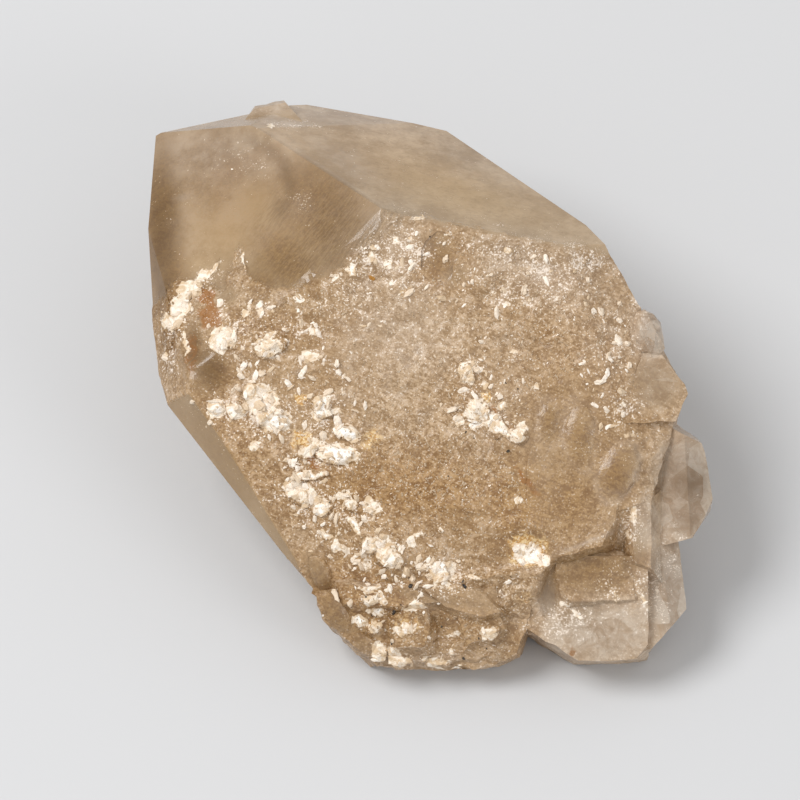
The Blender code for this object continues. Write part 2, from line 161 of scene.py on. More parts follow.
def longest_allowed(edge):
    """The longest edge that is left undivided here, in metres."""
    kinds = [face[kind_of] for face in edge.link_faces]
    limit = min(EDGE_LIMIT[kind] for kind in kinds)
    if END in kinds:
        middle = TO_FACE @ ((edge.verts[0].co + edge.verts[1].co) / 2) / MM
        if below_line(middle.x, middle.y) > -CRUST_MARGIN:
            limit = EDGE_LIMIT[ROUGH]
    return limit * MM


for _round in range(ROUNDS):
    long_edges = [edge for edge in crystal.edges if edge.calc_length() > longest_allowed(edge)]
    if not long_edges:
        break
    bmesh.ops.subdivide_edges(crystal, edges=long_edges, cuts=1, use_grid_fill=True)
    wide = [face for face in crystal.faces if len(face.verts) > 3]
    bmesh.ops.triangulate(crystal, faces=wide)
print("faces after dividing", len(crystal.faces))

# %% [markdown]
# Windows, stains, clouds and crusts are ovals that are listed: a place, two half sizes, a
# strength and, for some, a turn. Ragged borders come from noise that shifts each place a little
# before it is looked up in the lists.

# %% How strongly a list of ovals covers places on the face
FALL_OFF = 0.7
RIM_WIDTH = 0.16


def turn_of(mark):
    """The turn of an oval; a row without one isn't turned."""
    return math.radians(mark[5]) if len(mark) > 5 else 0.0


def oval_reach(places, mark):
    """Distance of places from the middle of an oval, where 1 is its border."""
    across, up = on_face(mark[0], mark[1])
    turn = turn_of(mark)
    away_x = places[:, 0] - across
    away_y = places[:, 1] - up
    along = (away_x * math.cos(turn) + away_y * math.sin(turn)) * PIXELS_PER_MM / mark[2]
    beside = (away_y * math.cos(turn) - away_x * math.sin(turn)) * PIXELS_PER_MM / mark[3]
    return np.sqrt(along ** 2 + beside ** 2)


def cover_of(places, marks, edge=4.0):
    """Cover from 0 to 1; a high edge value gives each oval a crisp border."""
    found = np.zeros(len(places))
    for mark in marks:
        found = np.maximum(found, mark[4] * np.exp(-FALL_OFF * oval_reach(places, mark) ** edge))
    return found


def rims_of(places, marks):
    """Cover of the rims of ovals."""
    found = np.zeros(len(places))
    for mark in marks:
        away = (oval_reach(places, mark) - 1.0) / RIM_WIDTH
        found = np.maximum(found, mark[4] * np.exp(-away ** 2))
    return found


def face_places(bm):
    """Places of all vertices in the frame of the front face, in millimetres."""
    return np.array([(TO_FACE @ vert.co)[:] for vert in bm.verts]) / MM


print("cover at the middle of an oval", cover_of(np.zeros((1, 3)), ((430, 385, 9, 9, 1),))[0])

# %% Torn borders: sizes of the noise and its shifts, in millimetres
RAGGED_WIDE, WIDE_SHIFT = 2.4, 0.7
RAGGED_FINE, FINE_SHIFT = 0.8, 0.6
OTHER_NOISE = 40.0


def ragged(places):
    """Places shifted by noise, so that ovals and lines get torn borders."""
    moved = places.copy()
    for number, (x, y, z) in enumerate(places):
        wide = Vector((x, y, z)) / RAGGED_WIDE
        fine = Vector((x, y, z)) / RAGGED_FINE
        moved[number, 0] += WIDE_SHIFT * noise.noise(wide) + FINE_SHIFT * noise.noise(fine)
        wide.z += OTHER_NOISE
        fine.z += OTHER_NOISE
        moved[number, 1] += WIDE_SHIFT * noise.noise(wide) + FINE_SHIFT * noise.noise(fine)
    return moved


print("a torn place", ragged(np.zeros((1, 3)))[0])

# %% [markdown]
# The smooth places come first: windows in the crust, leaf-shaped growth plates, the small clear
# crystals and the smooth strip along the lower left border.

# %% Windows: x, y in the photograph, half sizes, strength, turn
LEAF_MARKS = (
    (549, 423, 12, 25, 0.8, 6), (580, 435, 17, 37, 0.8, 6), (618, 472, 19, 32, 1, -24),
)
WINDOWS = LEAF_MARKS + (
    (434, 252, 20, 18, 1), (452, 272, 17, 13, 0.9, -35), (574, 458, 60, 88, 0.56),
    (400, 250, 12, 9, 0.4), (195, 352, 9, 26, 1), (209, 368, 19, 22, 1),
    (228, 297, 10, 9, 0.8), (549, 600, 10, 23, 1, 4), (690, 487, 34, 60, 1),
    (668, 600, 24, 62, 1), (657, 383, 26, 26, 0.9), (651, 335, 12, 20, 0.8),
    (641, 545, 8, 26, 1), (595, 574, 38, 22, 0.9), (600, 630, 60, 28, 0.6),
    (318, 575, 10, 26, 0.9, 25), (336, 612, 13, 22, 0.9, 35), (362, 640, 9, 16, 0.7, 40),
    (430, 598, 34, 9, 0.6, -14), (480, 600, 20, 14, 0.5), (412, 560, 8, 5, 0.5, 20),
)

# %% [markdown]
# The white mineral is chalky and cream-white. It lies in crumbly patches and small lumps, thickest
# in a chain across the lower left of the front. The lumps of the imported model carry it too. Their
# rows are x, y on the face, half length, half width and turn.

# %% White mineral: x, y, half sizes, strength, turn
CHALK_MARKS = (
    (190, 289, 13, 9, 0.85, 25), (181, 307, 9, 14, 0.85, -20), (170, 322, 9, 8, 0.9),
    (203, 275, 8, 5, 0.75, 40), (244, 260, 2, 9, 0.7, 8), (214, 268, 9, 2, 0.7, 50),
    (224, 340, 13, 12, 0.9), (268, 349, 16, 10, 0.8, 5), (268, 336, 16, 2, 0.8, 32),
    (310, 355, 11, 7, 0.6), (314, 333, 7, 4, 0.7, -35), (299, 297, 6, 4, 1, 40),
    (247, 311, 7, 5, 0.55), (352, 270, 5, 6, 0.9), (337, 276, 6, 4, 0.6),
    (186, 340, 3, 22, 0.55, 5), (168, 355, 5, 5, 0.6), (216, 409, 9, 9, 1),
    (236, 410, 12, 6, 0.95, -35), (262, 400, 18, 17, 0.85), (276, 422, 15, 12, 1),
    (252, 388, 12, 8, 0.6), (255, 445, 9, 5, 0.65, 30), (321, 407, 7, 15, 0.95, -25),
    (335, 411, 8, 5, 0.6), (346, 433, 14, 6, 1, -25), (338, 453, 22, 10, 1, -12),
    (322, 448, 12, 6, 0.8, -40), (307, 475, 21, 3, 0.95, 4), (300, 492, 22, 10, 0.8, -25),
    (322, 507, 12, 9, 0.62), (343, 494, 10, 4, 0.75), (348, 504, 5, 5, 0.95),
    (319, 510, 5, 5, 0.95), (372, 506, 10, 9, 0.75), (354, 526, 10, 3, 0.95, -60),
    (326, 535, 7, 4, 0.9, -40), (335, 548, 5, 5, 0.85), (347, 551, 6, 6, 0.7),
    (383, 548, 20, 15, 0.62, -20), (391, 561, 14, 6, 0.9, -10), (366, 566, 7, 6, 0.6),
    (412, 541, 5, 5, 0.9), (370, 589, 12, 3, 0.8), (382, 598, 5, 5, 0.95),
    (378, 612, 7, 3, 0.95, -10), (360, 620, 9, 5, 1, -15), (414, 608, 13, 4, 0.7),
    (403, 630, 13, 5, 0.7), (378, 645, 8, 5, 0.6), (379, 656, 8, 7, 0.8),
    (391, 653, 6, 5, 0.75), (403, 662, 16, 4, 0.55), (440, 567, 15, 7, 1),
    (452, 577, 6, 5, 0.85), (446, 587, 9, 4, 0.6, -20), (473, 578, 9, 2, 0.85, -15),
    (419, 533, 5, 3, 0.9, 10), (439, 527, 6, 2, 0.95, -15), (488, 634, 9, 7, 0.75, -20),
    (453, 635, 11, 4, 0.55, 10), (449, 651, 7, 5, 0.5), (456, 669, 6, 3, 0.95),
    (432, 660, 14, 4, 0.5), (471, 365, 7, 4, 0.85), (468, 377, 4, 9, 0.8, 25),
    (485, 371, 5, 3, 0.7, -20), (513, 352, 6, 5, 0.65, -30), (486, 384, 3, 4, 0.9),
    (502, 405, 6, 5, 0.9), (490, 417, 9, 6, 0.95, 20), (475, 424, 9, 4, 0.9, 15),
    (502, 431, 10, 6, 1, -12), (460, 424, 4, 5, 0.8, 30), (459, 405, 3, 2, 0.8),
    (522, 427, 8, 5, 0.65), (528, 552, 15, 11, 0.95, -10), (540, 560, 12, 7, 0.85),
    (519, 500, 6, 5, 0.65), (512, 590, 12, 9, 0.45), (500, 605, 6, 5, 0.4),
    (565, 604, 6, 3, 0.75, -35), (576, 613, 8, 3, 0.7, -25), (617, 594, 3, 10, 0.55),
    (645, 600, 4, 14, 0.5, 10), (660, 590, 3, 14, 0.45, -15), (634, 515, 4, 10, 0.6, 10),
    (628, 535, 6, 5, 0.5), (623, 405, 5, 3, 0.55), (630, 435, 10, 4, 0.5),
    (396, 240, 4, 3, 0.9), (410, 240, 3, 2, 0.85), (374, 248, 5, 3, 0.8),
    (388, 264, 4, 3, 0.9),
    (371, 258, 8, 5, 0.55), (418, 219, 4, 2, 0.8), (448, 234, 5, 3, 0.7),
    (390, 283, 4, 3, 0.75), (507, 250, 5, 3, 0.85, -20), (535, 254, 3, 3, 0.8),
    (495, 292, 5, 2, 0.8), (430, 330, 18, 2, 0.45, 3), (508, 304, 5, 4, 0.6, -40),
    (558, 300, 8, 4, 0.45, 30), (366, 326, 9, 2, 0.55), (383, 324, 6, 3, 0.6),
    (537, 386, 3, 3, 0.8, 40), (270, 124, 5, 2, 0.7, -10),
)
WHITE_LUMPS = (
    (-45.9, 11.2, 1.9, 1.5, 70), (-43.6, 14.4, 2.4, 1.7, 60), (-41.0, 16.4, 1.6, 1.1, 30),
    (-35.8, 8.2, 2.4, 1.9, 20), (-27.8, 6.8, 2.9, 1.9, 15), (-37.8, -4.0, 1.5, 1.3, 0),
    (-34.2, -4.3, 1.8, 1.5, 0), (-31.4, -1.6, 2.1, 1.7, 120), (-29.0, -5.4, 2.2, 2.0, 30),
    (-26.6, -6.0, 1.9, 1.7, 150), (-19.1, -3.6, 2.3, 1.8, 110), (-14.8, -8.4, 2.3, 1.3, 170),
    (-16.9, -12.2, 3.7, 1.7, 172), (-21.6, -11.4, 1.8, 1.5, 40), (-21.4, -16.0, 3.6, 0.8, 4),
    (-23.0, -19.8, 2.4, 1.2, 160), (-18.8, -21.6, 1.9, 1.1, 20), (-13.7, -21.0, 1.2, 1.2, 0),
    (6.2, 2.2, 2.0, 1.6, 100), (8.0, -4.4, 2.7, 2.0, 20), (11.6, -7.2, 2.5, 1.8, 165),
    (15.2, -8.9, 2.0, 1.5, 10), (10.6, -43.6, 1.6, 1.2, 30), (1.2, -33.4, 2.3, 1.9, 80),
    (-10.6, -28.2, 1.9, 1.5, 30), (-7.2, -30.4, 2.6, 1.8, 160), (-10.6, -37.8, 1.8, 1.1, 0),
    (-9.6, -42.4, 1.5, 1.2, 40), (-9.0, -47.2, 1.8, 1.5, 60), (-5.4, -48.4, 2.3, 1.3, 170),
    (1.4, -48.8, 2.4, 1.0, 0), (16.9, -28.8, 2.0, 1.5, 20), (19.2, -30.4, 1.6, 1.3, 100),
)
LUMP_STRENGTH = 0.62
LUMP_MARKS = tuple(
    (ZERO_PIXEL[0] + x * PIXELS_PER_MM, ZERO_PIXEL[1] - y * PIXELS_PER_MM,
     along * PIXELS_PER_MM, beside * PIXELS_PER_MM, LUMP_STRENGTH, turn)
    for x, y, along, beside, turn in WHITE_LUMPS
)
print(len(CHALK_MARKS), "patches and", len(LUMP_MARKS), "lumps of white mineral")

# %% [markdown]
# Fine white dust and tiny crystals powder wide areas, most of all a snowy band at the upper right.

# %% Powder: x, y, half sizes, strength, turn
FLOUR_MARKS = (
    (550, 268, 62, 22, 0.52, -22), (500, 250, 60, 10, 0.5, -10), (585, 262, 24, 16, 0.6, -30),
    (520, 290, 60, 26, 0.5, -15), (612, 345, 34, 55, 0.36), (640, 300, 16, 20, 0.46),
    (622, 408, 22, 34, 0.46), (596, 440, 12, 20, 0.3), (402, 258, 40, 34, 0.5, 10),
    (372, 262, 22, 18, 0.58), (345, 300, 40, 30, 0.42), (285, 330, 72, 26, 0.4, 5),
    (232, 330, 26, 26, 0.5), (170, 345, 12, 34, 0.52), (196, 290, 28, 14, 0.52, 35),
    (228, 405, 30, 18, 0.46), (262, 410, 40, 36, 0.5), (320, 420, 30, 30, 0.5, -30),
    (334, 455, 36, 18, 0.55, -8), (307, 495, 40, 28, 0.46, -25), (350, 515, 34, 30, 0.42),
    (375, 565, 44, 26, 0.22, -30), (450, 580, 34, 22, 0.48), (400, 600, 60, 40, 0.12),
    (430, 650, 70, 18, 0.26), (484, 420, 40, 24, 0.46, -15), (470, 375, 24, 24, 0.44),
    (528, 552, 22, 18, 0.5, -20), (570, 620, 50, 22, 0.46, 20), (650, 590, 22, 40, 0.4),
    (610, 590, 18, 24, 0.36), (632, 520, 14, 26, 0.5), (500, 380, 100, 60, 0.2),
    (400, 340, 90, 50, 0.24), (430, 400, 90, 60, 0.18), (440, 500, 90, 50, 0.12),
    (245, 160, 30, 20, 0.28, 20), (294, 124, 30, 5, 0.4, -4), (380, 112, 90, 7, 0.2, -8),
    (303, 200, 12, 10, 0.36), (670, 560, 20, 30, 0.3), (512, 590, 16, 18, 0.4),
)

# %% [markdown]
# Iron has stained the stone: rust beside the white patches on the left, gold between them. Other
# marks are colour inside the quartz, seen through the facets: a smoky band under the left facet,
# saturated brown where the stone is clear and thick, and pale milky veils. Painted light and shade
# are among them too: a warm painted glow in the middle of the left facet, a few thin smoke ovals as
# painted shade under ledges of the base and in a notch, and one haze oval as painted light in a pit.

# %% Stains and clouds: x, y, half sizes, strength, turn
RUST_MARKS = (
    (206, 297, 9, 7, 0.85, 20), (210, 315, 12, 13, 0.75), (218, 325, 8, 6, 0.6),
    (192, 352, 7, 24, 0.55), (213, 366, 15, 18, 0.3), (309, 456, 5, 16, 0.85, 35),
    (315, 466, 6, 4, 0.8), (527, 482, 24, 5, 0.6, -48), (510, 428, 6, 9, 0.45, 20),
    (493, 410, 6, 4, 0.6), (518, 552, 10, 8, 0.6), (573, 652, 4, 7, 0.6),
    (468, 383, 4, 8, 0.45, 20), (350, 472, 20, 4, 0.3), (238, 284, 16, 3, 0.35, 10),
)
GOLD_MARKS = (
    (300, 398, 7, 6, 0.9), (303, 437, 12, 9, 0.75, -35), (292, 445, 8, 5, 0.6),
    (372, 440, 13, 15, 0.5), (358, 450, 10, 8, 0.35), (528, 550, 22, 18, 0.8),
    (532, 562, 18, 5, 0.75, -8), (524, 598, 13, 12, 0.45), (486, 396, 5, 6, 0.85, 25),
    (472, 371, 8, 8, 0.4), (461, 413, 4, 7, 0.55, 10), (407, 293, 12, 7, 0.45),
    (388, 552, 20, 12, 0.45, -20), (500, 420, 16, 10, 0.35), (406, 624, 22, 14, 0.42),
    (508, 452, 8, 5, 0.45), (375, 622, 8, 6, 0.55), (270, 405, 16, 14, 0.25),
)
# Smoke ovals are mostly the smoky colour of the quartz. A few thin ones on the base, at 404, 575, 455,
# 602 and 428, 618, are painted shade under its ledges, and the one at 626, 556 is painted shade in a
# notch.
SMOKE_AND_SHADE_MARKS = (
    (330, 206, 56, 44, 0.34, -40), (225, 175, 80, 60, 0.16), (160, 235, 18, 80, 0.9),
    (520, 205, 80, 44, 0.2, -30), (194, 346, 9, 22, 0.72), (209, 370, 17, 22, 0.76),
    (272, 262, 44, 24, 0.2, 40), (254, 141, 13, 7, 0.5, -25), (270, 150, 14, 8, 0.6, -42),
    (284, 166, 8, 15, 0.66, 16), (290, 186, 8, 16, 0.62, 4), (283, 206, 8, 12, 0.5, -30),
    (225, 178, 26, 8, 0.34, 12), (250, 170, 26, 10, 0.3, 10), (168, 245, 12, 50, 0.35, -10),
    (163, 285, 13, 30, 0.85, -8), (168, 345, 9, 34, 0.55), (690, 482, 20, 15, 0.6),
    (676, 470, 14, 22, 0.35), (698, 490, 8, 9, 0.5), (655, 480, 18, 18, 0.3),
    (680, 522, 18, 18, 0.3), (626, 556, 5, 17, 0.7, 12), (520, 534, 28, 5, 0.3, 10),
    (555, 575, 12, 16, 0.35), (404, 575, 20, 4, 0.6, 22), (455, 602, 50, 4, 0.3, -8),
    (502, 600, 3, 30, 0.45), (600, 560, 40, 10, 0.2, 10), (500, 247, 30, 8, 0.3, -12),
    (598, 262, 20, 12, 0.3, -20), (480, 450, 34, 6, 0.25, -4), (370, 108, 110, 6, 0.16, -8),
    (428, 618, 14, 4, 0.35),
)
BROWN_MARKS = (
    (288, 262, 38, 26, 0.95, -50), (262, 282, 22, 12, 0.85), (318, 215, 52, 44, 0.8, -50),
    (330, 180, 30, 26, 0.25, -40), (215, 180, 90, 70, 0.42), (335, 205, 44, 40, 0.6, -40),
    (230, 275, 20, 12, 0.4, 30), (170, 290, 16, 60, 0.95), (195, 352, 10, 28, 1),
    (214, 372, 20, 24, 1), (270, 330, 70, 26, 0.6), (438, 258, 26, 26, 0.9, -20),
    (455, 275, 22, 18, 0.6, -30), (330, 385, 40, 26, 0.35), (400, 490, 120, 44, 0.95),
    (520, 500, 50, 60, 0.95), (478, 395, 40, 34, 0.5), (440, 620, 95, 36, 0.62),
    (365, 600, 74, 54, 0.95), (330, 600, 26, 50, 0.85, 30), (549, 423, 14, 26, 0.85, 6),
    (578, 440, 20, 40, 0.9, 6), (612, 470, 24, 36, 1), (570, 500, 44, 50, 0.9),
    (575, 430, 84, 110, 0.66), (595, 570, 60, 30, 0.85, 10), (549, 600, 12, 26, 0.3, 4),
    (240, 450, 34, 100, 0.6, 40), (160, 225, 18, 80, 1), (300, 470, 50, 20, 0.5, -20),
    (540, 330, 60, 30, 0.25), (500, 310, 40, 10, 0.4), (548, 332, 14, 7, 0.6),
    (520, 640, 22, 30, 0.65),
)
# Painted light: warm lighter ovals where light glows through the crystal, on the left facet, along the
# top and on the base.
PAINTED_GLOW_MARKS = (
    (282, 256, 40, 22, 0.8, 45), (226, 236, 34, 28, 0.75, 20), (256, 206, 22, 24, 0.9),
    (330, 152, 80, 22, 0.4, -20), (450, 190, 100, 22, 0.9, -16), (200, 262, 30, 12, 0.6, 10),
    (410, 628, 18, 13, 0.7), (388, 556, 26, 16, 0.5, -20), (250, 470, 34, 110, 0.8, 40),
)
# Haze ovals are milky veils in the quartz, except the one at 549, 602, which is painted light that
# brightens a shaded pit.
HAZE_AND_LIGHT_MARKS = (
    (350, 112, 120, 12, 0.6, -8), (480, 160, 60, 16, 0.35, -30), (215, 150, 70, 26, 0.8),
    (325, 168, 74, 2, 0.45, -33), (338, 156, 46, 13, 0.45, -33), (300, 206, 12, 9, 0.6),
    (545, 272, 60, 24, 0.55, -20), (610, 330, 30, 60, 0.3), (400, 250, 36, 40, 0.4),
    (395, 330, 50, 40, 0.35), (350, 350, 16, 40, 0.3), (650, 333, 18, 30, 1),
    (690, 450, 24, 20, 0.6), (672, 530, 30, 14, 0.5), (600, 640, 60, 26, 0.5),
    (650, 585, 20, 44, 0.6), (672, 600, 14, 50, 0.55), (585, 543, 34, 2, 0.95, 22),
    (616, 492, 16, 2, 0.9, -12), (672, 518, 44, 3, 0.6, 6), (400, 595, 60, 12, 0.35, -8),
    (345, 600, 20, 20, 0.2), (415, 660, 60, 8, 0.4), (500, 400, 30, 50, 0.2),
    (182, 195, 13, 2, 1, 10), (171, 222, 7, 2, 1, 18), (549, 602, 12, 24, 0.6, 4),
    (376, 232, 26, 14, 0.75, 56), (286, 122, 30, 5, 0.8, -6), (268, 104, 30, 9, 0.8),
)
CLEAR_MARKS = (
    (690, 487, 32, 60, 0.95), (674, 600, 22, 62, 0.95), (648, 520, 14, 30, 0.6),
    (651, 333, 14, 26, 0.9), (657, 383, 24, 26, 0.4), (600, 630, 60, 34, 0.6),
)
STREAK_MARKS = (
    (392, 218, 13, 10, 1), (372, 236, 26, 11, 1, 56), (330, 232, 40, 34, 0.6, 56),
    (300, 260, 50, 30, 0.5, 50), (275, 215, 24, 16, 0.5, 50), (240, 280, 40, 20, 0.3, 40),
)
print("brown places", len(BROWN_MARKS), "and milky veils", len(HAZE_AND_LIGHT_MARKS))

# %% [markdown]
# The crust gets its relief by moving its vertices. A displacement map would leave the exported
# mesh smooth. First the sharp steps are worn down: where the crust has grown over the foot of a
# facet, and at leaves and pits with soft borders.

# %% Wearing down sharp steps: spots as x, y, half sizes, strength, turn
ROUND_OFF = 14
WEAR = 24
CRISP = 6.0
SOFT_FROM = 0.5
SOFT_SPOTS = (
    (549, 423, 20, 34, 1, 6), (580, 435, 26, 46, 1, 6), (618, 472, 28, 42, 1, -24),
    (530, 552, 28, 22, 1), (549, 600, 18, 32, 1, 4), (206, 362, 22, 24, 1),
)


def kinds_at(vert):
    """The kinds of the faces that meet at a vertex."""
    return {face[kind_of] for face in vert.link_faces}


def near_foot(vert):
    """True where an end facet runs into the crust."""
    spot = TO_FACE @ vert.co / MM
    found = kinds_at(vert)
    return found <= {ROUGH, END} and END in found and below_line(spot.x, spot.y) > -CRUST_MARGIN


def worn(verts, rounds):
    """Smooths away sharp steps."""
    for _round in range(rounds):
        bmesh.ops.smooth_vert(crystal, verts=verts, factor=0.5,
                              use_axis_x=True, use_axis_y=True, use_axis_z=True)


foot_verts = [vert for vert in crystal.verts if near_foot(vert)]
worn(foot_verts, ROUND_OFF)
soft_share = cover_of(face_places(crystal), SOFT_SPOTS, CRISP)
soft_verts = [vert for vert, share in zip(crystal.verts, soft_share)
              if share > SOFT_FROM and kinds_at(vert) <= {ROUGH, END}]
worn(soft_verts, WEAR)
crystal.normal_update()
crystal.verts.index_update()
print("worn vertices", len(foot_verts) + len(soft_verts))

# %% [markdown]
# Each vertex now gets masks from 0 to 1: how frosted it is, how much white mineral it carries, how
# far it looks to the front and whether it lies on the broken base. They steer the relief here and
# the colours later. The foot of a facet is spread over its neighbours, so the crust doesn't end in
# teeth there.

# %% Masks of the skin
FOOT_SPREAD = 4
LINE_BLUR = 0.7
CALM_SHARE = 0.9
TOP_CHIP = ((262, 103, 32, 10, 0.5),)
FRONT_FROM, FRONT_STEP = -0.15, 0.2
BASE_FROM, BASE_TO = 28.0, 36.0


def rise_and_fall(values, low, high):
    """0 below low, 1 above high and a smooth step between them."""
    share = np.clip((values - low) / (high - low), 0.0, 1.0)
    return share * share * (3.0 - 2.0 * share)


def spread(bm, values, rounds):
    """Averages values over neighbouring vertices, so that a sharp step becomes a slope."""
    ends = np.array([[vert.index for vert in edge.verts] for edge in bm.edges])
    count = np.bincount(ends.ravel(), minlength=len(values)) + 1.0
    for _round in range(rounds):
        total = values.astype(float)
        total += np.bincount(ends[:, 0], values[ends[:, 1]], len(values))
        total += np.bincount(ends[:, 1], values[ends[:, 0]], len(values))
        values = total / count
    return values


places = face_places(crystal)
torn = ragged(places)
way_out = np.array([(TO_FACE.to_3x3() @ vert.normal)[:] for vert in crystal.verts])
front = np.clip((way_out[:, 2] - FRONT_FROM) / FRONT_STEP, 0.0, 1.0)
kinds = [kinds_at(vert) for vert in crystal.verts]
overgrown = np.array([found <= {ROUGH, END} for found in kinds])
all_rough = np.array([found == {ROUGH} for found in kinds])
foot = spread(crystal, np.array([END in found for found in kinds]), FOOT_SPREAD)
crust = rise_and_fall(below_line(torn[:, 0], torn[:, 1]), -LINE_BLUR, LINE_BLUR) * overgrown
frost = crust * (1.0 - CALM_SHARE * cover_of(places, WINDOWS))
frost = np.maximum(frost, cover_of(places, TOP_CHIP) * all_rough)
chalk = np.maximum(cover_of(torn, CHALK_MARKS), cover_of(torn, LUMP_MARKS)) * front
base_share = rise_and_fall(-places[:, 1], BASE_FROM, BASE_TO)
print("frosted share", round(float(frost.mean()), 3), "chalky", round(float(chalk.mean()), 3))

# %% [markdown]
# Each vertex of the crust moves along its normal by a sum of noises: broad swells, growth hillocks
# and fine grain. It also drifts a little sideways, which breaks straight ledges. White mineral is
# crumblier and stands a little prouder.

# %% The rough skin: sizes and rises in millimetres
SWELL_SIZE, SWELL_RISE = 3.6, 0.20
HILL_SIZE, HILL_RISE, HILL_MIDDLE = 1.5, 0.15, 0.5
GRAIN_SIZE, GRAIN_RISE = 0.70, 0.11
CRUMBLE_SIZE, CRUMBLE_RISE = 1.2, 0.34
DRIFT_SIZE, DRIFT_SHIFT = 2.4, 0.34
CHALK_RISE = 0.14
OVERGROWTH = 0.30
BASE_GAIN = 0.5
FOOT_HOLD = 2.0
UNTOUCHED = 0.02


def height_at(number, spot):
    """How far a vertex rises out of the solid."""
    swell = SWELL_RISE * noise.noise(spot / SWELL_SIZE) * (1.0 + BASE_GAIN * base_share[number])
    hill = HILL_RISE * (HILL_MIDDLE - noise.voronoi(spot / HILL_SIZE)[0][0])
    fine = GRAIN_RISE * noise.noise(spot / GRAIN_SIZE)
    height = (swell + hill + fine) * frost[number]
    if overgrown[number]:
        crumble = CRUMBLE_RISE * noise.noise(spot / CRUMBLE_SIZE)
        height += (crumble + CHALK_RISE) * chalk[number] + OVERGROWTH * crust[number] * foot[number]
    return height


def drift_at(number, spot):
    """How far a vertex wanders sideways; the foot of a facet holds it back."""
    wander = Vector((noise.noise(spot / DRIFT_SIZE), noise.noise(spot.zxy / DRIFT_SIZE), 0.0))
    return wander * DRIFT_SHIFT * frost[number] * max(0.0, 1.0 - FOOT_HOLD * foot[number])


moved = [vert for vert in crystal.verts if frost[vert.index] + chalk[vert.index] >= UNTOUCHED]
for vert in moved:
    number = vert.index
    spot = Vector(places[number])
    drift = TO_WORLD.to_3x3() @ drift_at(number, spot)
    vert.co += (vert.normal * height_at(number, spot) + drift) * MM
print("vertices of the rough skin", len(moved))

# %% [markdown]
# The marks are stored on the mesh as colour attributes, so they need no image. Smoke and brown are
# held back on the top slope, so that this facet, which faces the light, stays paler: painted light.

# %% Marks stored on the crystal
SOFT = 2.0
LEAF_RIM = 0.5
TOP_ALIGNED, LIT_TOP_SPARED = 0.97, 0.75
TOP_WAY = np.array(Vector(END_FACETS["top_slope"][0]).normalized()[:])


def paint(mesh, name, red, green, blue=0.0):
    """Stores up to three marks as one colour attribute."""
    layer = mesh.color_attributes.new(name, "FLOAT_COLOR", "POINT")
    values = np.ones((len(mesh.vertices), 4), dtype=np.float32)
    values[:, 0] = red
    values[:, 1] = green
    values[:, 2] = blue
    layer.data.foreach_set("color", values.ravel())


# Painted light: smoke and brown are weakened on faces turned like the top slope, so that the facet facing
# the light stays paler.
lit_top_kept_pale = 1.0 - LIT_TOP_SPARED * (way_out @ TOP_WAY > TOP_ALIGNED)
half_torn = (places + torn) / 2
# Milky veils, and painted light in one shaded pit.
veils_and_light = np.maximum(cover_of(places, HAZE_AND_LIGHT_MARKS, SOFT), LEAF_RIM * rims_of(places, LEAF_MARKS))
marks = {
    "flour": cover_of(torn, FLOUR_MARKS, SOFT) * front,
    "rust": cover_of(torn, RUST_MARKS) * front,
    "gold": cover_of(torn, GOLD_MARKS) * front,
    # Smoky colour, and painted shade at ledges and a notch.
    "smoke_and_shade": cover_of(half_torn, SMOKE_AND_SHADE_MARKS, SOFT) * front * lit_top_kept_pale,
    # Painted light: a warm glow.
    "painted_glow": cover_of(places, PAINTED_GLOW_MARKS, SOFT) * front,
    "brown": cover_of(half_torn, BROWN_MARKS, SOFT) * front * lit_top_kept_pale,
    "haze_and_light": veils_and_light * front,
    "clear": cover_of(places, CLEAR_MARKS),
    "streak": cover_of(places, STREAK_MARKS, SOFT) * front,
}
for name, values in marks.items():
    print("mark", name, "covers", round(float(values.mean()), 3))

# %% The finished skin
skin = bpy.data.meshes.new("citrine_skin")
crystal.to_mesh(skin)
crystal.free()
body = bpy.data.objects.new("citrine_skin", skin)
bpy.context.scene.collection.objects.link(body)
paint(skin, "marks_a", frost, chalk, marks["flour"])
paint(skin, "marks_b", marks["rust"], marks["gold"], marks["smoke_and_shade"])
paint(skin, "marks_c", marks["painted_glow"], marks["brown"], marks["haze_and_light"])
paint(skin, "marks_d", marks["clear"], marks["streak"])
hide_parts("citrine_crystal")
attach(body, "root")
print("crystal has", len(skin.polygons), "faces")

# %% [markdown]
# Cloudy quartz lets light through and scatters some of it at veils and bubbles. A scattering volume
# would be truer, but slow and grainy to render. So the material is a Principled shader with the
# refraction of quartz. Its transmission is high on the small clear crystals and low on the frosted
# front, and an absorbing volume turns deep parts brown. A few helpers keep the nodes readable.

# %% Small helpers for shader nodes
def feed(tree, node, inputs):
    """Sets inputs of a node. Each is a number, a colour or the socket of another node."""
    for name, value in inputs.items():
        if isinstance(value, bpy.types.NodeSocket):
            tree.links.new(value, node.inputs[name])
        else:
            node.inputs[name].default_value = value


def new_node(tree, kind, inputs, **settings):
    """Makes a shader node."""
    made = tree.nodes.new("ShaderNode" + kind)
    for name, value in settings.items():
        setattr(made, name, value)
    feed(tree, made, inputs)
    return made


def blend(tree, factor, first, second):
    """Mixes two colours by a factor."""
    return new_node(tree, "Mix", {0: factor, 6: first, 7: second}, data_type="RGBA").outputs[2]


def reckoned(tree, operation, first, second):
    """Multiplies or adds two values, or takes the larger."""
    return new_node(tree, "Math", {0: first, 1: second}, operation=operation).outputs[0]


def weighted(tree, *parts):
    """Sum of several values, each with its weight."""
    total = 0.0
    for value, weight in parts:
        total = reckoned(tree, "ADD", total, reckoned(tree, "MULTIPLY", value, weight))
    return total


def ramp(tree, value, low, high, start=0.0, end=1.0):
    """Maps a value from low..high to start..end, smoothly."""
    span = {"Value": value, "From Min": low, "From Max": high, "To Min": start, "To Max": end}
    return new_node(tree, "MapRange", span, interpolation_type="SMOOTHSTEP").outputs[0]


